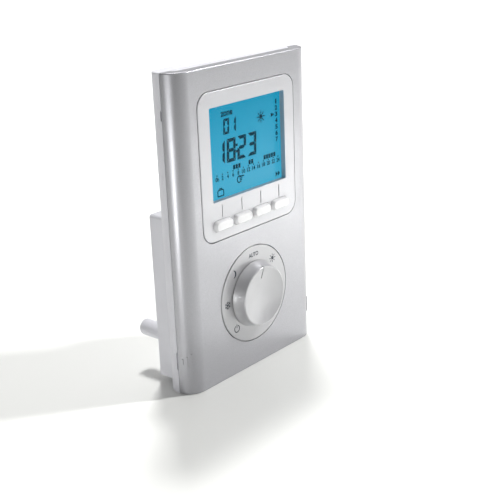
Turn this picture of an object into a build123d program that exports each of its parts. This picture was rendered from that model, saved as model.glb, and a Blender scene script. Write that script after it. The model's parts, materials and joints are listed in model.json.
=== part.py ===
from build123d import *

import os

# Wall-mounted programmable heating timer, as separate pieces.
#
# The model is drawn in case coordinates, in millimetres: X to the right seen from the front,
# Y inwards from the cover's front face, Z up from the case's bottom. Every piece is then moved
# to the row frame, whose origin lies on the wall box's back face, midway between the two wall
# screws, with +Y into the wall.

# Case: a flat front with rounded sides, split into a front cover and a rear shell.
CASE_W = 80.0
CASE_H = 129.0
CASE_D = 14.5
FRONT_R = 7.5
REAR_R = 6.0
WALL = 2.0
PARTING_Y = 7.0
PARTING_GAP = 0.24
EDGE_R = 0.45
TONGUE_Y = 4.7
TONGUE_HALF_W = 34.5
TONGUE_R = 2.6
TONGUE_GAP = 0.2

# Wall box behind the case.
BOX_W = 73.2
BOX_H = 69.7
BOX_D = 7.0
BOX_RISE = 2.5
BOX_WALL = 1.5
BOX_R = 1.2
BOX_MID_Z = BOX_RISE + BOX_H / 2
BOX_BACK_Y = CASE_D + BOX_D
BOX_FLOOR_Y = BOX_BACK_Y - BOX_WALL
WALL_HOLE_Z = 36.5
WALL_HOLE_SPACING = 60.0
WALL_HOLE_R = 2.1
BOX_BOSS_X = 31.6
BOX_BOSS_DZ = 29.35
BOX_BOSS_R = 2.4

# Cable sleeve, standing out of the wall box's back.
SLEEVE_X = -28.0
SLEEVE_Z = 17.4
SLEEVE_R = 3.5
SLEEVE_BORE_R = 2.6
SLEEVE_OUT = 16.2
SLEEVE_FLANGE_R = 4.8
SLEEVE_FLANGE_T = 1.0

# Display fascia, with its window and four keys.
PROUD = 0.2
RECESS_D = 1.2
GROOVE = 0.32
FASCIA_W = 57.4
FASCIA_Z0 = 60.6
FASCIA_Z1 = 119.9
FASCIA_R = 5.8
FASCIA_MID_Z = (FASCIA_Z0 + FASCIA_Z1) / 2
WINDOW_W = 44.8
WINDOW_H = 37.0
WINDOW_Z = 95.1
WINDOW_BACK_Y = 2.0
KEY_PITCH = 11.7
KEY_Z = 66.9
KEY_W = 10.1
KEY_H = 4.2
KEY_R = 1.6
KEY_FACE_W = 9.2
KEY_FACE_H = 3.2
KEY_PROUD = 1.75
KEY_GAP = 0.15
KEY_TRAVEL = 0.6
MARK_W = 0.5
MARK_H = 5.2
MARK_Z = 72.45
MARK_D = 0.25

# Display stack and main board.
LCD_W = 50.0
LCD_H = 43.0
LENS_Y = (2.25, 2.85)
CELL_Y = (2.95, 4.75)
GUIDE_Y = (4.85, 6.65)
BOARD_Y = (7.0, 8.6)
BOARD_HALF_W = 35.5
BOARD_Z = (4.0, 125.0)
BOARD_HOLES = [(x, z) for x in (-33.0, 33.0) for z in (8.0, 121.0)]

# Dial ring, knob and selector switch.
DIAL_Z = 32.2
DIAL_R = 20.75
DIAL_HOLE_R = 5.0
KNOB_BASE_R = 14.1
KNOB_RIM_R = 12.7
KNOB_BASE_Y = -0.5
KNOB_FRONT_Y = -5.6
DISH_R = 12.1
DISH_DEPTH = 2.4
POINTER_W = 0.55
SHAFT_R = 2.4
FIT = 0.03

# Power board inside the wall box.
POWER_Y = (17.6, 19.2)
POWER_HALF_W = 23.0
POWER_Z = (8.0, 66.0)
POWER_HOLES = [(x, z) for x in (-20.0, 20.0) for z in (24.0, 62.0)]
TERMINALS = 5
TERMINAL_PITCH = 7.0

ROW = Location((0, -BOX_BACK_Y, -WALL_HOLE_Z))
KEY_NAMES = ("absence", "minus", "plus", "advance")
KEY_X = [(i - 1.5) * KEY_PITCH for i in range(4)]


def slab(outline, near, far):
    """A flat outline in X and Z, made solid between two depths."""
    return extrude(Plane.XZ.offset(-far) * outline, far - near)


def at(x, z, outline):
    """An outline moved to a place on the front."""
    return Pos(x, z) * outline


def rod(x, z, radius, near, far):
    """A round bar along Y."""
    return slab(at(x, z, Circle(radius)), near, far)


def block(x, y, z):
    """A box from three (low, high) pairs."""
    size = [high - low for low, high in (x, y, z)]
    centre = [(high + low) / 2 for low, high in (x, y, z)]
    return Pos(*centre) * Box(*size)


def slice_y(near, far):
    """Everything between two depths, to cut the case with."""
    return block((-60, 60), (near, far), (-20, 160))


def case_section(inset):
    """The case's outline seen from above, drawn in by an inset."""
    outline = Pos(0, CASE_D / 2) * Rectangle(CASE_W - 2 * inset, CASE_D - 2 * inset)
    outline = fillet(outline.vertices().sort_by(Axis.Y)[:2], FRONT_R - inset)
    return fillet(outline.vertices().sort_by(Axis.Y)[-2:], REAR_R - inset)


def case_shell():
    """The whole case as one hollow body, before it is split."""
    outer = extrude(case_section(0), CASE_H)
    rims = outer.edges().group_by(Axis.Z)[0] + outer.edges().group_by(Axis.Z)[-1]
    outer = fillet(rims, EDGE_R)
    return outer - Pos(0, 0, WALL) * extrude(case_section(WALL), CASE_H - 2 * WALL)


def tongue(gap, bottom, height):
    """The rear shell's end tongue, which closes a notch in the cover's end wall."""
    front = TONGUE_Y + gap
    outline = Pos(0, (front + 9) / 2) * Rectangle(2 * (TONGUE_HALF_W - gap), 9 - front)
    outline = fillet(outline.vertices().sort_by(Axis.Y)[:2], TONGUE_R - gap)
    return Pos(0, 0, bottom) * extrude(outline, height)


def grip_ribs():
    """Three raised bars on each rounded side, growing towards the front."""
    ribs = []
    for angle, height in ((69.0, 2.3), (55.5, 4.4), (41.0, 6.7)):
        bar = Box(0.8, 1.1, height)
        bar = fillet(bar.edges().filter_by(Axis.Z), 0.15)
        stood = Rot(0, 0, -angle) * Pos(0, -(FRONT_R - 0.2), 0) * bar
        left = Pos(FRONT_R - CASE_W / 2, FRONT_R, 14.4) * stood
        ribs += [left, mirror(left, Plane.YZ)]
    return ribs


def front_cover():
    """Painted cover: front wall, rounded sides, recesses for the fascia and the dial ring."""
    cover = case_shell() & slice_y(-1, PARTING_Y - PARTING_GAP / 2)
    for bottom in (-1, CASE_H - WALL - 1):
        cover -= tongue(0, bottom, WALL + 2)
    fascia_seat = RectangleRounded(FASCIA_W + GROOVE, FASCIA_Z1 - FASCIA_Z0 + GROOVE, FASCIA_R + GROOVE / 2)
    cover -= slab(at(0, FASCIA_MID_Z, fascia_seat), -1, RECESS_D)
    cover -= slab(at(0, FASCIA_MID_Z, RectangleRounded(52.4, 53.5, 3)), 0, WALL + 1)
    cover -= rod(0, DIAL_Z, DIAL_R + GROOVE / 2, -1, RECESS_D)
    cover -= rod(0, DIAL_Z, DIAL_HOLE_R, 0, WALL + 1)
    for x, z in BOARD_HOLES:
        cover += rod(x, z, 2.6, WALL - 0.5, BOARD_Y[0])
        cover -= rod(x, z, 0.95, WALL + 0.6, BOARD_Y[0] + 1)
    for side in (-1, 1):
        for z in (14.4, 113.2):
            tab = block((36.2, 37.4), (4.4, 10.4), (z - 3.2, z + 3.2))
            cover += tab if side == 1 else mirror(tab, Plane.YZ)
    for rib in grip_ribs():
        cover += rib
    return cover


def rear_shell():
    """White back of the case, with a large opening into the wall box and a tongue at each end."""
    shell = case_shell() & slice_y(PARTING_Y + PARTING_GAP / 2, CASE_D + 1)
    for bottom in (0.12, CASE_H - WALL):
        shell += tongue(TONGUE_GAP, bottom, WALL - 0.12)
    opening = at(0, BOX_MID_Z, RectangleRounded(64, 61, 3))
    for x, z in box_bosses():
        opening -= at(x, z, Circle(5.4))
    shell -= slab(opening, CASE_D - WALL - 1, CASE_D + 1)
    for x, z in box_bosses():
        shell -= rod(x, z, 1.5, CASE_D - WALL - 1, CASE_D + 1)
    for side in (-1, 1):
        for low, high in ((10.2, 17.8), (111.3, 115.1)):
            window = block((CASE_W / 2 - 0.9, CASE_W / 2 + 1), (PARTING_Y - 1, PARTING_Y + 0.75), (low, high))
            shell -= window if side == 1 else mirror(window, Plane.YZ)
    return shell


def box_bosses():
    """Where the four screws hold the wall box to the rear shell."""
    return [(x, BOX_MID_Z + dz) for x in (-BOX_BOSS_X, BOX_BOSS_X) for dz in (-BOX_BOSS_DZ, BOX_BOSS_DZ)]


def wall_box():
    """Shallow tray that is screwed to the wall and holds the power board."""
    outer = slab(at(0, BOX_MID_Z, RectangleRounded(BOX_W, BOX_H, BOX_R)), CASE_D, BOX_BACK_Y)
    outer = fillet(outer.faces().sort_by(Axis.Y)[-1].edges(), 0.5)
    inside = RectangleRounded(BOX_W - 2 * BOX_WALL, BOX_H - 2 * BOX_WALL, 0.8)
    tray = outer - slab(at(0, BOX_MID_Z, inside), CASE_D - 1, BOX_FLOOR_Y)
    for x, z in box_bosses():
        tray += rod(x, z, BOX_BOSS_R, CASE_D, BOX_FLOOR_Y + 0.2)
        tray -= rod(x, z, 0.95, CASE_D - 1, BOX_FLOOR_Y - 0.4)
    for x, z in POWER_HOLES:
        tray += rod(x, z, 2.2, POWER_Y[1], BOX_FLOOR_Y + 0.2)
        tray -= rod(x, z, 0.8, POWER_Y[1] - 1, BOX_BACK_Y - 0.6)
    for x in (-WALL_HOLE_SPACING / 2, WALL_HOLE_SPACING / 2):
        tray -= rod(x, WALL_HOLE_Z, WALL_HOLE_R, BOX_FLOOR_Y - 1, BOX_BACK_Y + 1)
    return tray - rod(SLEEVE_X, SLEEVE_Z, SLEEVE_R + FIT, BOX_FLOOR_Y - 1, BOX_BACK_Y + 1)


def cable_sleeve():
    """Flanged tube that leads the supply cable out of the wall box."""
    end = BOX_BACK_Y + SLEEVE_OUT
    tube = rod(SLEEVE_X, SLEEVE_Z, SLEEVE_R, BOX_FLOOR_Y - SLEEVE_FLANGE_T, end)
    tube = fillet(tube.faces().sort_by(Axis.Y)[-1].edges(), 0.4)
    tube += rod(SLEEVE_X, SLEEVE_Z, SLEEVE_FLANGE_R, BOX_FLOOR_Y - SLEEVE_FLANGE_T, BOX_FLOOR_Y)
    return tube - rod(SLEEVE_X, SLEEVE_Z, SLEEVE_BORE_R, BOX_FLOOR_Y - 2, end + 1)


def screw(x, z, head_y, head_r, head_t, shank_r, tip_y):
    """A pan-head screw along Y with a cross recess, its head nearer the front or the back than its tip."""
    way = 1 if tip_y > head_y else -1
    under_head = head_y + way * head_t
    body = rod(x, z, head_r, min(head_y, under_head), max(head_y, under_head))
    body += rod(x, z, shank_r, min(under_head, tip_y), max(under_head, tip_y))
    recess_end = head_y + way * head_t * 0.5
    low, high = sorted((head_y - way, recess_end))
    for width, height in ((head_r * 1.3, 0.45), (0.45, head_r * 1.3)):
        body -= slab(at(x, z, Rectangle(width, height)), low, high)
    return body


def display_fascia():
    """Panel insert with the display window, the key openings and an engraved mark over each key."""
    height = FASCIA_Z1 - FASCIA_Z0 - GROOVE
    outline = RectangleRounded(FASCIA_W - GROOVE, height, FASCIA_R - GROOVE / 2)
    plate = slab(at(0, FASCIA_MID_Z, outline), -PROUD, RECESS_D - 0.05)
    plate = fillet(plate.faces().sort_by(Axis.Y)[0].edges(), 0.3)
    window = at(0, WINDOW_Z, RectangleRounded(WINDOW_W, WINDOW_H, 0.6))
    collar = at(0, WINDOW_Z, RectangleRounded(WINDOW_W + 3, WINDOW_H + 3, 1.2))
    plate += slab(collar, RECESS_D - 0.3, WINDOW_BACK_Y)
    plate -= slab(window, -1, WINDOW_BACK_Y + 1)
    hole = RectangleRounded(KEY_W + 2 * KEY_GAP, KEY_H + 2 * KEY_GAP, KEY_R + KEY_GAP)
    for x in KEY_X:
        plate -= slab(at(x, KEY_Z, hole), -1, RECESS_D + 1)
        plate -= slab(at(x, MARK_Z, RectangleRounded(MARK_W, MARK_H, 0.2)), -1, MARK_D - PROUD)
    return plate


def key(x):
    """Push key: sloped cap, straight skirt, retaining flange and a stem on to its switch."""
    skirt = slab(at(x, KEY_Z, RectangleRounded(KEY_W, KEY_H, KEY_R)), -PROUD, 2.2)
    base = Plane.XZ.offset(PROUD) * at(x, KEY_Z, RectangleRounded(KEY_W, KEY_H, KEY_R))
    face = Plane.XZ.offset(KEY_PROUD) * at(x, KEY_Z, RectangleRounded(KEY_FACE_W, KEY_FACE_H, 1.35))
    cap = loft([base, face])
    cap = fillet(cap.faces().sort_by(Axis.Y)[0].edges(), 0.4)
    flange = slab(at(x, KEY_Z, RectangleRounded(KEY_W + 0.9, KEY_H + 1.0, 1)), 1.4, 2.2)
    stem = slab(at(x, KEY_Z, RectangleRounded(3, 2.4, 0.4)), 2.2, 4.0)
    return skirt + cap + flange + stem


def key_plunger(x):
    """The switch's own plunger, which the key pushes."""
    return rod(x, KEY_Z, 1.6, 4.0, 4.9)


def key_switches():
    """Bodies of the four tactile switches, each with a well for its plunger."""
    bodies = []
    for x in KEY_X:
        body = slab(at(x, KEY_Z, RectangleRounded(6, 6, 0.4)), 4.75, BOARD_Y[0])
        bodies.append(body - rod(x, KEY_Z, 1.75, 4, 4.9 + KEY_TRAVEL + 0.2))
    return bodies


def dial_ring():
    """Scale disc under the knob."""
    disc = rod(0, DIAL_Z, DIAL_R - GROOVE / 2, -PROUD, RECESS_D - 0.05)
    disc = fillet(disc.faces().sort_by(Axis.Y)[0].edges(), 0.35)
    return disc - rod(0, DIAL_Z, DIAL_HOLE_R, -1, RECESS_D + 1)


def dish_y(radius):
    """Depth of the knob's dished face at a radius."""
    return KNOB_FRONT_Y + DISH_DEPTH * (1 - (radius / DISH_R) ** 2)


def spun(profile):
    """Turns a profile of (radius, depth) about the dial's axis."""
    axis = Axis((0, 0, DIAL_Z), (0, 1, 0))
    return revolve(Plane((0, 0, DIAL_Z), x_dir=(1, 0, 0), z_dir=(0, 0, 1)) * profile, axis)


def d_bar(radius, near, far):
    """A round bar on the dial's axis with one flat."""
    return rod(0, DIAL_Z, radius, near, far) & block((-9, 9), (near, far), (DIAL_Z - 9, DIAL_Z + radius - 0.9))


def selector_knob():
    """Tapered knob with a dished face, hollow behind, with a boss on the shaft and a pointer groove."""
    side = Spline(
        (KNOB_RIM_R, KNOB_FRONT_Y + 0.5),
        (KNOB_RIM_R + 0.38, -3.0),
        (KNOB_BASE_R, KNOB_BASE_Y),
        tangents=((0.12, 1), (0.55, 1)),
    )
    rim = ThreePointArc(
        (KNOB_RIM_R, KNOB_FRONT_Y + 0.5),
        (KNOB_RIM_R - 0.18, KNOB_FRONT_Y + 0.1),
        (DISH_R, KNOB_FRONT_Y),
    )
    dish = ThreePointArc((DISH_R, KNOB_FRONT_Y), (DISH_R / 2, dish_y(DISH_R / 2)), (0, dish_y(0)))
    outline = dish + rim + side + Polyline((KNOB_BASE_R, KNOB_BASE_Y), (0, KNOB_BASE_Y), (0, dish_y(0)))
    knob = spun(make_face(outline))
    hollow = Circle(11.2) - Circle(4.3)
    knob -= slab(at(0, DIAL_Z, hollow), -2.6, 1)
    knob += rod(0, DIAL_Z, 4.3, -1, 0.6)
    knob -= d_bar(SHAFT_R + FIT, -2.0, 1)
    groove = Rot(17.5, 0, 0) * Box(POINTER_W, 0.9, 6.4)
    knob -= Pos(0, dish_y(10.2) - 0.02, DIAL_Z + 10.2) * groove
    return knob - block((-POINTER_W / 2, POINTER_W / 2), (-7, -4.1), (DIAL_Z + KNOB_RIM_R - 0.3, DIAL_Z + 15))


def selector_shaft():
    """Steel spindle from the knob to the rotor."""
    return d_bar(SHAFT_R, -1.95, 1.4) + rod(0, DIAL_Z, SHAFT_R, 1.4, 6.0)


def selector_rotor():
    """Moulded rotor with eight detent notches."""
    rotor = rod(0, DIAL_Z, 5.0, 4.4, 6.0) - rod(0, DIAL_Z, SHAFT_R + FIT, 4, 7)
    for notch in PolarLocations(5.1, 8):
        rotor -= slab(at(notch.position.X, DIAL_Z + notch.position.Y, Circle(0.7)), 4, 7)
    return rotor


def selector_wiper():
    """Contact ring on the rotor's back."""
    return slab(at(0, DIAL_Z, Circle(4.2) - Circle(2.8)), 6.0, 6.3)


def selector_body():
    """Case of the rotary switch, open towards the board."""
    body = slab(at(0, DIAL_Z, RectangleRounded(15, 15, 1)), 3.0, BOARD_Y[0])
    body -= rod(0, DIAL_Z, 5.25, 4.2, BOARD_Y[0] + 1)
    body -= block((-3.4, 3.4), (4.2, BOARD_Y[0] + 1), (DIAL_Z - 6.4, DIAL_Z))
    return body - rod(0, DIAL_Z, SHAFT_R + 0.06, 2, 5)


def detent_spring():
    """Leaf spring under the rotor."""
    leaf = block((-3.4, 3.4), (4.5, 5.9), (DIAL_Z - 6.2, DIAL_Z - 5.9))
    return leaf + rod(0, DIAL_Z - 5.75, 0.45, 4.5, 5.9)


def display_stack():
    """Lens, liquid-crystal cell, light guide, lamps, contact strip and the frame that holds them."""
    full = at(0, WINDOW_Z, Rectangle(LCD_W, LCD_H))
    bottom, top = WINDOW_Z - LCD_H / 2, WINDOW_Z + LCD_H / 2
    frame = Rectangle(LCD_W + 3.6, LCD_H + 3.6) - Rectangle(LCD_W + 0.3, LCD_H + 0.3)
    lamps = [block((x - 1.6, x + 1.6), (5.5, BOARD_Y[0]), (top - 1.6, top - 0.3)) for x in (-15, 0, 15)]
    return {
        "display_lens": slab(full, *LENS_Y),
        "display_cell": slab(full, *CELL_Y),
        "backlight_guide": block((-LCD_W / 2, LCD_W / 2), GUIDE_Y, (bottom + 3, top - 2)),
        "backlight_lamps": lamps,
        "display_contact_strip": block((-22, 22), (CELL_Y[1], BOARD_Y[0]), (bottom + 0.5, bottom + 2.5)),
        "display_frame": slab(at(0, WINDOW_Z, frame), LENS_Y[0], BOARD_Y[0]),
    }


def main_board():
    """Front unit's circuit board."""
    board = block((-BOARD_HALF_W, BOARD_HALF_W), BOARD_Y, BOARD_Z)
    for x, z in BOARD_HOLES:
        board -= rod(x, z, 1.3, BOARD_Y[0] - 1, BOARD_Y[1] + 1)
    return board


def board_parts():
    """Components on the back of the main board."""
    back = BOARD_Y[1]
    chip = block((-14, -2), (back, back + 1.6), (90, 102))
    memory = block((11, 16), (back, back + 1.5), (102, 106))
    crystal = Pos(13.5, back + 1.5, 90) * Rot(0, 90, 0) * Cylinder(1.5, 8)
    header = block((-8, 8), (back, back + 2.4), (WALL_HOLE_Z - 2.5, WALL_HOLE_Z + 2.5))
    for x in plug_x():
        header += block((x - 0.32, x + 0.32), (back + 2.4, 15.4), (WALL_HOLE_Z - 0.32, WALL_HOLE_Z + 0.32))
    return {
        "microcontroller": fillet(chip.edges().filter_by(Axis.Y), 0.3),
        "memory_chip": memory,
        "clock_crystal": crystal,
        "backup_capacitor": rod(-20, 80, 5.2, back, back + 3.4),
        "plug_header": header,
    }


def plug_x():
    """Places of the six pins that join the front unit to the base."""
    return [(i - 2.5) * 2.54 for i in range(6)]


def base_socket():
    """Socket on the power board, for the front unit's pins."""
    socket = block((-8, 8), (11.4, POWER_Y[0]), (WALL_HOLE_Z - 2.5, WALL_HOLE_Z + 2.5))
    for x in plug_x():
        socket -= block((x - 0.5, x + 0.5), (11, 16), (WALL_HOLE_Z - 0.5, WALL_HOLE_Z + 0.5))
    return socket


def power_board():
    """Base's circuit board."""
    board = block((-POWER_HALF_W, POWER_HALF_W), POWER_Y, POWER_Z)
    for x, z in POWER_HOLES:
        board -= rod(x, z, 1.2, POWER_Y[0] - 1, POWER_Y[1] + 1)
    return board


def power_parts():
    """Components on the power board."""
    top = POWER_Y[0]
    core = block((-18, 4), (top - 5.4, top - 2.4), (41, 57))
    winding = block((-14, 0), (top - 7.8, top), (43.5, 54.5))
    relay = block((8, 17.5), (top - 7.4, top), (42, 58))
    return {
        "transformer": core + fillet(winding.edges().filter_by(Axis.X), 0.8),
        "pilot_wire_relay": fillet(relay.edges().filter_by(Axis.Y), 0.5),
        "surge_varistor": Pos(-12, top - 4, 28.6) * Rot(0, 90, 0) * Cylinder(4, 3.4),
        "smoothing_capacitor": Pos(6, top - 3.2, 28.6) * Rot(0, 90, 0) * Cylinder(3.2, 12),
    }


def terminal_x():
    """Places of the terminals, along the bottom of the power board."""
    return [(i - (TERMINALS - 1) / 2) * TERMINAL_PITCH for i in range(TERMINALS)]


def terminal_block():
    """Screw terminals: wire entries from below, screw wells from the front."""
    half = TERMINALS * TERMINAL_PITCH / 2
    body = block((-half, half), (9.8, POWER_Y[0]), (9, 19))
    for x in terminal_x():
        body -= block((x - 2.1, x + 2.1), (12.2, 16.4), (8, 16))
        body -= rod(x, 12.4, 2.1, 9, 12.5)
    return body


def terminal_pieces():
    """The screw and the clamp plate of every terminal."""
    screws = [screw(x, 12.4, 10.2, 1.9, 1.5, 1.2, 13.2) for x in terminal_x()]
    clamps = [block((x - 1.9, x + 1.9), (13.2, 14.0), (10, 15.4)) for x in terminal_x()]
    return {"terminal_screws": screws, "terminal_clamps": clamps}


def screw_sets():
    """Fasteners, each set in one node."""
    board = [screw(x, z, BOARD_Y[1] + 1.4, 2.2, 1.4, 0.9, 3.6) for x, z in BOARD_HOLES]
    box = [screw(x, z, CASE_D - WALL - 1.4, 2.3, 1.4, 0.9, BOX_FLOOR_Y - 1.2) for x, z in box_bosses()]
    power = [screw(x, z, POWER_Y[0] - 1.3, 2.0, 1.3, 0.75, BOX_BACK_Y - 0.8) for x, z in POWER_HOLES]
    return {"board_screws": board, "box_screws": box, "power_board_screws": power}


def all_pieces():
    """Every node by name. A list is one node of several solids."""
    pieces = {
        "front_cover": front_cover(),
        "display_fascia": display_fascia(),
        "dial_ring": dial_ring(),
        "selector_knob": selector_knob(),
        "selector_shaft": selector_shaft(),
        "selector_rotor": selector_rotor(),
        "selector_wiper": selector_wiper(),
        "selector_body": selector_body(),
        "detent_spring": detent_spring(),
        "key_switches": key_switches(),
        "main_board": main_board(),
        "rear_shell": rear_shell(),
        "wall_box": wall_box(),
        "cable_sleeve": cable_sleeve(),
        "power_board": power_board(),
        "base_socket": base_socket(),
        "terminal_block": terminal_block(),
    }
    for name, x in zip(KEY_NAMES, KEY_X):
        pieces[f"{name}_key"] = key(x)
        pieces[f"{name}_plunger"] = key_plunger(x)
    for group in (display_stack, board_parts, power_parts, terminal_pieces, screw_sets):
        pieces.update(group())
    return pieces


def main():
    os.makedirs("parts", exist_ok=True)
    for name, piece in all_pieces().items():
        solids = piece if isinstance(piece, list) else piece.solids()
        export_step(Compound(children=[ROW * s for s in solids]), f"parts/{name}.step")


main()
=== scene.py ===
"""Looks of the wall-mounted heating timer: materials, display, dial marks, light and camera."""

import json
import math

import bmesh
import bpy
from mathutils import Matrix, Vector


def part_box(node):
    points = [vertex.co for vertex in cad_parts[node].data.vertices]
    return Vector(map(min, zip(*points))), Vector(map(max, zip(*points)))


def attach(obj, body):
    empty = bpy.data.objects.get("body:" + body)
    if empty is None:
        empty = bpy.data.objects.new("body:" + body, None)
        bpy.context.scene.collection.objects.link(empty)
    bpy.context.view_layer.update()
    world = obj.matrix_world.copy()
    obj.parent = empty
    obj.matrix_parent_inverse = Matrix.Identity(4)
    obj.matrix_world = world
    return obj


MM = 0.001

# Camera, in metres and degrees.
CAMERA_AT = (-0.29226, -0.27591, 0.15033)
CAMERA_YAW = 48.784
CAMERA_PITCH = 19.299
CAMERA_ROLL = -2.214
CAMERA_LENS_MM = 71.98

# Studio.
FLOOR_HALF_SIZE = 4
FLOOR_COLOUR = (0.93, 0.935, 0.905)
# Way along the floor in which its painted light grows.
FLOOR_PAINTED_LIGHT_WAY = (0.70, 0.62, 0)
WORLD_BRIGHT_WAY = (0.55, 0.25, 0.80)
WORLD_LEVEL = 0.55
WORLD_STOPS = [(0.0, (0.10, 0.10, 0.105)), (0.5, (0.28, 0.28, 0.29)), (1.0, (1.0, 1.0, 1.0))]

# Lights: places in metres, powers in watts.
LIGHT_AIM = (0, 0, 0.02)
LEFT_AIM = (-0.04, -0.02, 0.02)
OVERHEAD_AT = (0.27, 0.24, 0.84)
OVERHEAD_POWER = 5.6
FRONT_AT = (0.50, -0.42, 0.54)
FRONT_POWER = 4.6
TABLE_AT = (0.25, -0.20, 0.085)
TABLE_TURN = -36
TABLE_SPREAD = 110
TABLE_POWER = 0.26
CARD_AT = (-0.36, -0.08, 0.0)
CARD_POWER = 0.11
STRIP_AT = (-0.28, -0.068, -0.02)
STRIP_POWER = 0.06

# Display content, in millimetres from the display's centre.
SEGMENT_T = 0.03
SEGMENT_LIFT = 0.04
SLANT = 0.053
HOUR_ZERO_X = -16.36
HOUR_PITCH = 1.57
DAY_X = 20.9
DAY_TOP_Z = 13.8
DAY_PITCH = 2.62

# Dial marks, in millimetres from the dial's centre.
MARK_R = 17.0
MARK_T = 0.03


def node_group(name):
    """A new node material, with its tree, its Principled shader and its coordinates in millimetres."""
    material = bpy.data.materials.new(name)
    material.use_nodes = True
    tree = material.node_tree
    shader = tree.nodes["Principled BSDF"]
    coords = tree.nodes.new("ShaderNodeTexCoord")
    scale = tree.nodes.new("ShaderNodeVectorMath")
    scale.operation = "SCALE"
    scale.inputs["Scale"].default_value = 1 / MM
    tree.links.new(coords.outputs["Object"], scale.inputs[0])
    return material, tree, shader, scale.outputs[0]


def noise(tree, where, per_mm, detail=2.0, rough=0.5):
    """Noise texture of a given fineness."""
    texture = tree.nodes.new("ShaderNodeTexNoise")
    texture.inputs["Scale"].default_value = per_mm
    texture.inputs["Detail"].default_value = detail
    texture.inputs["Roughness"].default_value = rough
    tree.links.new(where, texture.inputs["Vector"])
    return texture.outputs["Fac"]


def ramp(tree, value, stops):
    """Colour ramp with (position, colour) stops."""
    node = tree.nodes.new("ShaderNodeValToRGB")
    elements = node.color_ramp.elements
    while len(elements) < len(stops):
        elements.new(0.5)
    for element, (position, colour) in zip(elements, stops):
        element.position = position
        element.color = (*colour, 1)
    tree.links.new(value, node.inputs["Fac"])
    return node.outputs["Color"]


def bump(tree, shader, height, strength, distance_mm):
    """Bump from a height value."""
    node = tree.nodes.new("ShaderNodeBump")
    node.inputs["Strength"].default_value = strength
    node.inputs["Distance"].default_value = distance_mm * MM
    tree.links.new(height, node.inputs["Height"])
    tree.links.new(node.outputs["Normal"], shader.inputs["Normal"])


def spread(tree, value, low, high):
    """Maps noise's middle range to a range of roughness."""
    node = tree.nodes.new("ShaderNodeMapRange")
    node.inputs["From Min"].default_value = 0.3
    node.inputs["From Max"].default_value = 0.7
    node.inputs["To Min"].default_value = low
    node.inputs["To Max"].default_value = high
    tree.links.new(value, node.inputs["Value"])
    return node.outputs["Result"]


def shade(colour, factor):
    """A colour made lighter or darker."""
    return tuple(min(1.0, c * factor) for c in colour)


def metallic_paint(name, colour, metallic, roughness, speckle):
    """Satin metallic paint: fine flakes in colour and roughness over a faint orange peel."""
    material, tree, shader, where = node_group(name)
    flakes = noise(tree, where, 7.0, 1.0, 0.6)
    drift = noise(tree, where, 0.05, 2.0)
    low, high = shade(colour, 1 - speckle), shade(colour, 1 + speckle)
    tree.links.new(ramp(tree, flakes, [(0.3, low), (0.5, colour), (0.72, high)]), shader.inputs["Base Color"])
    tree.links.new(spread(tree, drift, roughness - 0.03, roughness + 0.03), shader.inputs["Roughness"])
    shader.inputs["Metallic"].default_value = metallic
    bump(tree, shader, flakes, 0.06, 0.02)
    return material


def moulded_plastic(name, colour, roughness, grain=0.05, subsurface=0.0):
    """Moulded plastic: fine spark-eroded grain, slight colour drift."""
    material, tree, shader, where = node_group(name)
    fine = noise(tree, where, 5.0, 3.0)
    drift = noise(tree, where, 0.08, 2.0)
    stops = [(0.3, shade(colour, 0.97)), (0.7, shade(colour, 1.02))]
    tree.links.new(ramp(tree, drift, stops), shader.inputs["Base Color"])
    tree.links.new(spread(tree, fine, roughness - 0.05, roughness + 0.05), shader.inputs["Roughness"])
    shader.inputs["Subsurface Weight"].default_value = subsurface
    shader.inputs["Subsurface Radius"].default_value = (0.002, 0.002, 0.002)
    bump(tree, shader, fine, grain, 0.03)
    return material


def metal(name, colour, roughness):
    """Plated or bare metal with fine scratches."""
    material, tree, shader, where = node_group(name)
    fine = noise(tree, where, 4.0, 4.0)
    stops = [(0.3, shade(colour, 0.9)), (0.7, shade(colour, 1.05))]
    tree.links.new(ramp(tree, fine, stops), shader.inputs["Base Color"])
    tree.links.new(spread(tree, fine, roughness - 0.06, roughness + 0.08), shader.inputs["Roughness"])
    shader.inputs["Metallic"].default_value = 1.0
    bump(tree, shader, fine, 0.08, 0.02)
    return material


def circuit_board(name):
    """Green solder mask over copper tracks."""
    material, tree, shader, where = node_group(name)
    tracks = tree.nodes.new("ShaderNodeTexBrick")
    tracks.inputs["Scale"].default_value = 0.22
    tracks.inputs["Mortar Size"].default_value = 0.03
    tracks.inputs["Color1"].default_value = (0.012, 0.13, 0.05, 1)
    tracks.inputs["Color2"].default_value = (0.016, 0.16, 0.06, 1)
    tracks.inputs["Mortar"].default_value = (0.05, 0.30, 0.12, 1)
    turn = tree.nodes.new("ShaderNodeMapping")
    turn.inputs["Rotation"].default_value = (math.radians(90), 0, 0)
    tree.links.new(where, turn.inputs["Vector"])
    tree.links.new(turn.outputs["Vector"], tracks.inputs["Vector"])
    tree.links.new(tracks.outputs["Color"], shader.inputs["Base Color"])
    fine = noise(tree, where, 2.0)
    tree.links.new(spread(tree, fine, 0.28, 0.4), shader.inputs["Roughness"])
    bump(tree, shader, tracks.outputs["Fac"], 0.3, 0.03)
    return material


def clear_glass(name):
    """Clear display window."""
    material, tree, shader, where = node_group(name)
    fine = noise(tree, where, 0.5)
    tree.links.new(spread(tree, fine, 0.0, 0.01), shader.inputs["Roughness"])
    shader.inputs["Base Color"].default_value = (0.97, 0.99, 1, 1)
    shader.inputs["Transmission Weight"].default_value = 1.0
    shader.inputs["IOR"].default_value = 1.08
    return material


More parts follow.
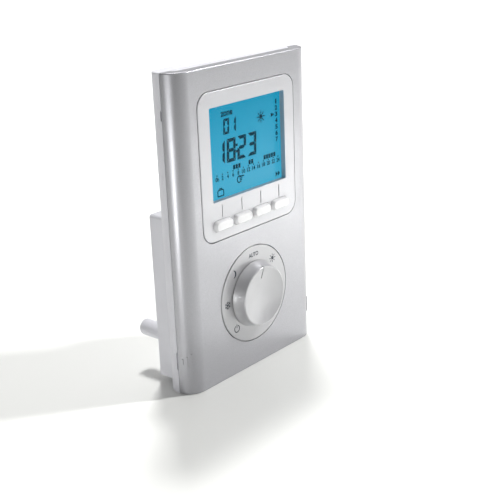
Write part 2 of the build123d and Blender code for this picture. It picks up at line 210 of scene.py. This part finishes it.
def backlit_blue(name, centre):
    """Backlit blue field, its glow brighter towards the bottom."""
    material, tree, shader, where = node_group(name)
    split = tree.nodes.new("ShaderNodeSeparateXYZ")
    tree.links.new(where, split.inputs["Vector"])
    height = tree.nodes.new("ShaderNodeMapRange")
    height.inputs["From Min"].default_value = centre.z / MM - 20
    height.inputs["From Max"].default_value = centre.z / MM + 20
    tree.links.new(split.outputs["Z"], height.inputs["Value"])
    stops = [(0.0, (0.055, 0.375, 0.555)), (0.35, (0.035, 0.345, 0.530)), (1.0, (0.008, 0.265, 0.425))]
    glow = ramp(tree, height.outputs["Result"], stops)
    tree.links.new(glow, shader.inputs["Emission Color"])
    shader.inputs["Emission Strength"].default_value = 1.0
    shader.inputs["Base Color"].default_value = (0.01, 0.06, 0.10, 1)
    shader.inputs["Specular IOR Level"].default_value = 0.02
    fine = noise(tree, where, 1.0)
    tree.links.new(spread(tree, fine, 0.3, 0.4), shader.inputs["Roughness"])
    return material


def display_ink(name):
    """Dark liquid-crystal segments, with a little of the backlight coming through."""
    material, tree, shader, where = node_group(name)
    fine = noise(tree, where, 1.5)
    tree.links.new(ramp(tree, fine, [(0.3, (0.004, 0.012, 0.02)), (0.7, (0.006, 0.018, 0.03))]),
                   shader.inputs["Base Color"])
    shader.inputs["Emission Color"].default_value = (0.006, 0.030, 0.046, 1)
    shader.inputs["Emission Strength"].default_value = 1.0
    shader.inputs["Specular IOR Level"].default_value = 0.0
    shader.inputs["Roughness"].default_value = 0.6
    return material


def printed_ink(name):
    """Slate print on the dial."""
    material, tree, shader, where = node_group(name)
    fine = noise(tree, where, 6.0)
    tree.links.new(ramp(tree, fine, [(0.3, (0.020, 0.026, 0.040)), (0.7, (0.032, 0.040, 0.058))]),
                   shader.inputs["Base Color"])
    shader.inputs["Roughness"].default_value = 0.5
    return material


def paint_nodes(centre):
    """Gives every CAD node its material by the record's slot."""
    white = (0.74, 0.74, 0.78)
    materials = {
        "cover_paint": metallic_paint("cover_paint", (0.44, 0.44, 0.465), 0.65, 0.32, 0.12),
        "fascia_paint": metallic_paint("fascia_paint", (0.55, 0.55, 0.575), 0.5, 0.36, 0.07),
        "dial_paint": metallic_paint("dial_paint", (0.50, 0.50, 0.515), 0.45, 0.36, 0.05),
        "knob_paint": metallic_paint("knob_paint", (0.56, 0.56, 0.575), 0.3, 0.36, 0.03),
        "key_plastic": moulded_plastic("key_plastic", (0.90, 0.90, 0.91), 0.3, 0.02, 0.1),
        "white_plastic": moulded_plastic("white_plastic", white, 0.45, 0.06, 0.05),
        "display_glass": clear_glass("display_glass"),
        "display_blue": backlit_blue("display_blue", centre),
        "clear_plastic": moulded_plastic("clear_plastic", (0.85, 0.92, 0.95), 0.2, 0.02, 0.3),
        "grey_rubber": moulded_plastic("grey_rubber", (0.12, 0.12, 0.13), 0.7, 0.1),
        "circuit_board": circuit_board("circuit_board"),
        "black_plastic": moulded_plastic("black_plastic", (0.02, 0.02, 0.022), 0.45, 0.08),
        "component_blue": moulded_plastic("component_blue", (0.03, 0.09, 0.30), 0.3, 0.04),
        "terminal_green": moulded_plastic("terminal_green", (0.03, 0.20, 0.08), 0.45, 0.06),
        "transformer_dark": metal("transformer_dark", (0.10, 0.09, 0.085), 0.45),
        "steel": metal("steel", (0.60, 0.60, 0.62), 0.28),
        "brass": metal("brass", (0.72, 0.52, 0.22), 0.3),
    }
    slots = {part["node"]: part["material_slot"] for part in frame["record"]["subparts"]}
    for name, node in frame["nodes"].items():
        for slot in node.material_slots:
            slot.material = materials[slots[name]]


class Sheet:
    """Flat shapes on a plane facing the front, gathered into one thin piece."""

    def __init__(self, centre, thickness):
        self.mesh = bmesh.new()
        self.centre = centre
        self.thickness = thickness

    def place(self, x, z, depth):
        """A point from the sheet's millimetres to the row frame."""
        return self.centre + Vector((x, depth, z)) * MM

    def polygon(self, points):
        """A filled outline, with its thickness."""
        front = [self.mesh.verts.new(self.place(x, z, 0)) for x, z in points]
        back = [self.mesh.verts.new(self.place(x, z, self.thickness)) for x, z in points]
        self.mesh.faces.new(front)
        self.mesh.faces.new(back[::-1])
        for i in range(len(points)):
            j = (i + 1) % len(points)
            self.mesh.faces.new((front[j], front[i], back[i], back[j]))

    def bar(self, start, end, width):
        """A straight stroke."""
        (x0, z0), (x1, z1) = start, end
        length = math.hypot(x1 - x0, z1 - z0)
        nx, nz = -(z1 - z0) / length * width / 2, (x1 - x0) / length * width / 2
        self.polygon([(x0 + nx, z0 + nz), (x0 - nx, z0 - nz), (x1 - nx, z1 - nz), (x1 + nx, z1 + nz)])

    def stroke(self, points, width, closed=False):
        """Straight strokes through points, with round joints."""
        pairs = list(zip(points, points[1:] + points[:1] if closed else points[1:]))
        for start, end in pairs:
            self.bar(start, end, width)
        for x, z in points:
            self.disc(x, z, width / 2, 8)

    def disc(self, x, z, radius, sides=24):
        """A filled circle."""
        self.polygon(arc(x, z, radius, 0, 360, sides)[:-1])

    def rays(self, x, z, inner, outer, count, width):
        """Tapered rays about a centre."""
        for i in range(count):
            a = math.radians(360 / count * i + 90)
            ux, uz = math.cos(a), math.sin(a)
            base = (x + ux * inner, z + uz * inner)
            tip = (x + ux * outer, z + uz * outer)
            self.polygon([(base[0] - uz * width / 2, base[1] + ux * width / 2),
                          (base[0] + uz * width / 2, base[1] - ux * width / 2),
                          (tip[0] + uz * width / 5, tip[1] - ux * width / 5),
                          (tip[0] - uz * width / 5, tip[1] + ux * width / 5)])

    def text(self, words, x, z, height, width, bold=0.0):
        """Plain lettering, fitted to a height and a width about a centre."""
        curve = bpy.data.curves.new("words", "FONT")
        curve.body = words
        curve.resolution_u = 4
        curve.offset = bold
        holder = bpy.data.objects.new("words", curve)
        mesh = bpy.data.meshes.new_from_object(holder)
        low = [min(v.co[i] for v in mesh.vertices) for i in (0, 1)]
        high = [max(v.co[i] for v in mesh.vertices) for i in (0, 1)]
        sx, sz = width / (high[0] - low[0]), height / (high[1] - low[1])
        made = {}
        for v in mesh.vertices:
            px = x + (v.co.x - (low[0] + high[0]) / 2) * sx
            pz = z + (v.co.y - (low[1] + high[1]) / 2) * sz
            made[v.index] = self.mesh.verts.new(self.place(px, pz, 0))
        faces = [self.mesh.faces.new([made[i] for i in p.vertices]) for p in mesh.polygons]
        grown = bmesh.ops.extrude_face_region(self.mesh, geom=faces)
        moved = [g for g in grown["geom"] if isinstance(g, bmesh.types.BMVert)]
        bmesh.ops.translate(self.mesh, vec=(0, self.thickness * MM, 0), verts=moved)
        bpy.data.objects.remove(holder)
        bpy.data.curves.remove(curve)
        bpy.data.meshes.remove(mesh)

    def piece(self, name, material, body):
        """The sheet as an object that rides on a body."""
        bmesh.ops.recalc_face_normals(self.mesh, faces=self.mesh.faces[:])
        mesh = bpy.data.meshes.new(name)
        self.mesh.to_mesh(mesh)
        self.mesh.free()
        mesh.materials.append(material)
        thing = bpy.data.objects.new(name, mesh)
        bpy.context.scene.collection.objects.link(thing)
        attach(thing, body)
        return thing


def arc(x, z, radius, start, end, steps):
    """Points on an arc, with angles in degrees from +X."""
    angles = [math.radians(start + (end - start) * i / steps) for i in range(steps + 1)]
    return [(x + radius * math.cos(a), z + radius * math.sin(a)) for a in angles]


SEGMENTS = {"0": "abcdef", "1": "bc", "2": "abged", "3": "abgcd", "8": "abcdefg"}


def seven_segment(sheet, digit, x, z, width, height, thick):
    """One slanted seven-segment digit, its lower left corner at (x, z)."""
    w, h, t, g = width, height, thick, 0.09
    mid = h / 2
    shapes = {
        "a": [(g, h), (w - g, h), (w - t - g, h - t), (t + g, h - t)],
        "d": [(g, 0), (t + g, t), (w - t - g, t), (w - g, 0)],
        "g": [(t / 2 + g, mid), (t + g, mid + t / 2), (w - t - g, mid + t / 2), (w - t / 2 - g, mid),
              (w - t - g, mid - t / 2), (t + g, mid - t / 2)],
        "f": [(0, h - g), (t, h - t - g), (t, mid + t / 2 + g), (t / 2, mid + g), (0, mid + g)],
        "e": [(0, g), (0, mid - g), (t / 2, mid - g), (t, mid - t / 2 - g), (t, t + g)],
    }
    shapes["b"] = [(w - px, pz) for px, pz in shapes["f"]]
    shapes["c"] = [(w - px, pz) for px, pz in shapes["e"]]
    for name in SEGMENTS[digit]:
        sheet.polygon([(x + px + pz * SLANT, z + pz) for px, pz in shapes[name]])


def display_content(ink):
    """Zone number, time, sun, day column, hour scale and its blocks, and three small icons."""
    low, high = (Vector(c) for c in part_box("display_cell"))
    centre = Vector(((low.x + high.x) / 2, low.y - SEGMENT_LIFT * MM, (low.z + high.z) / 2))
    sheet = Sheet(centre, SEGMENT_T)
    sheet.text("zone", -9.3, 14.15, 1.95, 6.9, 0.035)
    seven_segment(sheet, "0", -11.66, 6.05, 3.4, 6.2, 1.05)
    seven_segment(sheet, "1", -7.64, 6.05, 3.4, 6.2, 1.05)
    for i, digit in enumerate("1823"):
        seven_segment(sheet, digit, -16.66 + 6.33 * i, -5.45, 5.2, 9.45, 1.4)
    for x, z in ((-4.12, 0.65), (-4.24, -1.9)):
        sheet.bar((x - 0.6, z), (x + 0.6, z), 0.95)
    sheet.disc(11.14, 9.2, 1.0)
    sheet.rays(11.14, 9.2, 1.25, 2.65, 8, 0.62)
    sheet.polygon([(17.5, 9.55), (19.75, 8.7), (17.5, 7.85)])
    for day in range(7):
        sheet.text(str(day + 1), DAY_X, DAY_TOP_Z - DAY_PITCH * day, 1.95, 0.8 if day == 0 else 1.5, 0.04)
    for hour in range(0, 25, 2):
        x = HOUR_ZERO_X + HOUR_PITCH * hour
        label = "0h" if hour == 0 else str(hour)
        sheet.text(label, x, -10.8, 1.75, 1.95 if len(label) == 2 else 1.0, 0.03)
        sheet.bar((x - 0.3, -9.3), (x + 0.3, -9.3), 0.5)
    for first, last in ((6, 9), (12, 14), (18, 23)):
        for hour in range(first, last):
            x = HOUR_ZERO_X + HOUR_PITCH * (hour + 0.5)
            sheet.bar((x - 0.62, -7.95), (x + 0.62, -7.95), 1.8)
    pointing_hand(sheet, -2.75, -13.3)
    suitcase(sheet, -14.66, -16.5)
    double_arrow(sheet, 20.85, -16.65)
    return sheet.piece("display_segments", ink, "front_unit")


def pointing_hand(sheet, x, z):
    """Small hand, its finger pointing right."""
    sheet.bar((x - 0.6, z + 0.75), (x + 2.3, z + 0.75), 0.55)
    for reach, drop in ((1.1, 0.0), (0.95, -0.65), (0.6, -1.3)):
        sheet.bar((x - 0.4, z + drop), (x + reach, z + drop), 0.42)
    sheet.stroke(arc(x - 0.5, z - 0.25, 1.35, 70, 270, 10), 0.5)


def suitcase(sheet, x, z):
    """Outline of a travel bag with its handle."""
    body = [(x - 1.7, z - 1.3), (x + 1.7, z - 1.3), (x + 1.7, z + 0.75), (x + 1.2, z + 1.2),
            (x - 1.2, z + 1.2), (x - 1.7, z + 0.75)]
    sheet.stroke(body, 0.45, closed=True)
    sheet.stroke([(x - 0.6, z + 1.3), (x - 0.6, z + 1.75), (x + 0.6, z + 1.75), (x + 0.6, z + 1.3)], 0.38)


def double_arrow(sheet, x, z):
    """Two filled arrowheads, pointing right."""
    for shift in (-1.35, 0.15):
        sheet.polygon([(x + shift, z - 1.15), (x + shift + 1.35, z), (x + shift, z + 1.15)])


def on_dial(angle):
    """A place on the dial's circle of marks, by degrees clockwise from the top."""
    a = math.radians(angle)
    return MARK_R * math.sin(a), MARK_R * math.cos(a)


def dial_marks(ink):
    """AUTO, sun, moon, snowflake and power marks, 45 degrees apart."""
    low, high = (Vector(c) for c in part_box("dial_ring"))
    centre = Vector(((low.x + high.x) / 2, low.y - 0.6 * MARK_T * MM, (low.z + high.z) / 2))
    sheet = Sheet(centre, MARK_T)
    x, z = on_dial(0)
    sheet.text("AUTO", x, z, 1.85, 6.0, 0.03)
    x, z = on_dial(45)
    sheet.disc(x, z, 0.8)
    sheet.rays(x, z, 1.1, 2.05, 8, 0.42)
    crescent(sheet, *on_dial(-45))
    snowflake(sheet, *on_dial(-90))
    power_mark(sheet, *on_dial(-135))
    return sheet.piece("dial_marks", ink, "front_unit")


def crescent(sheet, x, z):
    """Moon with its horns to the left, as a strip between two arcs."""
    outer = arc(x - 0.75, z, 1.75, -92, 92, 14)
    inner = arc(x - 1.75, z, 1.95, -64, 64, 14)
    for i in range(14):
        sheet.polygon([outer[i], outer[i + 1], inner[i + 1], inner[i]])


def snowflake(sheet, x, z):
    """Six barbed arms."""
    for i in range(6):
        a = math.radians(60 * i + 30)
        sheet.bar((x, z), (x + 1.75 * math.cos(a), z + 1.75 * math.sin(a)), 0.3)
        fork = (x + 0.95 * math.cos(a), z + 0.95 * math.sin(a))
        for turn in (-0.9, 0.9):
            tip = (fork[0] + 0.75 * math.cos(a + turn), fork[1] + 0.75 * math.sin(a + turn))
            sheet.bar(fork, tip, 0.26)


def power_mark(sheet, x, z):
    """Ring open at the top, with a short upright bar."""
    sheet.stroke(arc(x, z, 1.5, 125, 415, 26), 0.4)
    sheet.bar((x, z + 0.4), (x, z + 1.95), 0.4)


def rotation(yaw, pitch, roll):
    """Camera turn from its heading to the right of +Y, its tilt down and its roll, in degrees."""
    heading = Matrix.Rotation(math.radians(-yaw), 3, "Z")
    tilt = Matrix.Rotation(math.radians(90 - pitch), 3, "X")
    lean = Matrix.Rotation(math.radians(roll), 3, "Z")
    return (heading @ tilt @ lean).to_4x4()


def make_camera():
    """The viewing camera."""
    data = bpy.data.cameras.new("camera")
    data.lens = CAMERA_LENS_MM
    data.clip_start = 0.01
    data.clip_end = 50
    camera = bpy.data.objects.new("camera", data)
    camera.matrix_world = Matrix.Translation(CAMERA_AT) @ rotation(CAMERA_YAW, CAMERA_PITCH, CAMERA_ROLL)
    bpy.context.scene.collection.objects.link(camera)
    bpy.context.scene.camera = camera


def area_light(name, at, towards, size, power):
    """Rectangular soft light."""
    data = bpy.data.lights.new(name, "AREA")
    data.shape = "RECTANGLE"
    data.size, data.size_y = size
    data.energy = power
    light = bpy.data.objects.new(name, data)
    aim = (Vector(towards) - Vector(at)).to_track_quat("-Z", "Y")
    light.matrix_world = Matrix.Translation(at) @ aim.to_matrix().to_4x4()
    light.visible_camera = False
    bpy.context.scene.collection.objects.link(light)
    return light


def along(tree, where, direction, near_mm, far_mm):
    """0 to 1 between two distances along a direction on the floor."""
    measure = tree.nodes.new("ShaderNodeVectorMath")
    measure.operation = "DOT_PRODUCT"
    measure.inputs[1].default_value = Vector(direction).normalized()
    tree.links.new(where, measure.inputs[0])
    level = tree.nodes.new("ShaderNodeMapRange")
    level.inputs["From Min"].default_value = near_mm
    level.inputs["From Max"].default_value = far_mm
    tree.links.new(measure.outputs["Value"], level.inputs["Value"])
    return level.outputs["Result"]


def make_floor():
    """Large pale floor with painted light: its emission grows towards the back so that it runs into a white
    background.
    """
    mesh = bmesh.new()
    bmesh.ops.create_grid(mesh, x_segments=2, y_segments=2, size=FLOOR_HALF_SIZE)
    data = bpy.data.meshes.new("floor")
    mesh.to_mesh(data)
    mesh.free()
    floor = bpy.data.objects.new("floor", data)
    floor.location.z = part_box("rear_shell")[0][2]
    bpy.context.scene.collection.objects.link(floor)
    material, tree, shader, where = node_group("floor_white")
    fine = noise(tree, where, 0.3)
    tree.links.new(spread(tree, fine, 0.42, 0.5), shader.inputs["Roughness"])
    shader.inputs["Base Color"].default_value = (*FLOOR_COLOUR, 1)
    # Painted light: emission grows from none 60 mm out to bright 700 mm out, a stand-in for a lamp-lit sweep.
    painted_light_level = along(tree, where, FLOOR_PAINTED_LIGHT_WAY, 60, 700)
    glow = ramp(tree, painted_light_level, [(0.0, (0.0, 0.0, 0.0)), (0.3, (0.35, 0.35, 0.35)), (1.0, (0.8, 0.8, 0.8))])
    tree.links.new(glow, shader.inputs["Emission Color"])
    shader.inputs["Emission Strength"].default_value = 1.0
    data.materials.append(material)


def make_world():
    """Pale studio: brightest overhead and to the right, dim in front."""
    world = bpy.data.worlds.new("studio")
    world.use_nodes = True
    tree = world.node_tree
    coords = tree.nodes.new("ShaderNodeTexCoord")
    facing = tree.nodes.new("ShaderNodeVectorMath")
    facing.operation = "DOT_PRODUCT"
    facing.inputs[1].default_value = Vector(WORLD_BRIGHT_WAY).normalized()
    tree.links.new(coords.outputs["Generated"], facing.inputs[0])
    level = tree.nodes.new("ShaderNodeMapRange")
    level.inputs["From Min"].default_value = -0.4
    level.inputs["From Max"].default_value = 0.9
    tree.links.new(facing.outputs["Value"], level.inputs["Value"])
    colour = ramp(tree, level.outputs["Result"], WORLD_STOPS)
    background = tree.nodes["Background"]
    tree.links.new(colour, background.inputs["Color"])
    background.inputs["Strength"].default_value = WORLD_LEVEL
    bpy.context.scene.world = world


def make_lights():
    """Soft studio lights, and a lamp over the table on the right that the front panel reflects."""
    area_light("overhead", OVERHEAD_AT, LIGHT_AIM, (0.14, 0.14), OVERHEAD_POWER)
    area_light("front_right", FRONT_AT, LIGHT_AIM, (0.06, 0.06), FRONT_POWER)
    table = area_light("table", TABLE_AT, (TABLE_AT[0], TABLE_AT[1], -0.04), (0.30, 0.05), TABLE_POWER)
    table.data.spread = math.radians(TABLE_SPREAD)
    table.rotation_euler = (0, 0, math.radians(TABLE_TURN))
    area_light("left_card", CARD_AT, LEFT_AIM, (0.22, 0.07), CARD_POWER)
    area_light("strip", STRIP_AT, LEFT_AIM, (0.02, 0.03), STRIP_POWER)


def main():
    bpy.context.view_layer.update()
    low, high = (Vector(c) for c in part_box("display_cell"))
    paint_nodes((low + high) / 2)
    display_content(display_ink("display_ink"))
    dial_marks(printed_ink("printed_ink"))
    make_floor()
    make_world()
    make_lights()
    make_camera()
    bpy.context.scene.view_settings.view_transform = "Standard"


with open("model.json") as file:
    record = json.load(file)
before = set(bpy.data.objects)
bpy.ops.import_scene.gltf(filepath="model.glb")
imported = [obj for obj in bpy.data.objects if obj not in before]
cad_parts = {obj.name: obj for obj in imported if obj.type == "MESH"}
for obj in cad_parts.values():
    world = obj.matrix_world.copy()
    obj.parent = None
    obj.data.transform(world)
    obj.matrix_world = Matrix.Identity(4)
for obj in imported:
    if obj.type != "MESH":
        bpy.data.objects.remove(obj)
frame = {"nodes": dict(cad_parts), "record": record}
main()
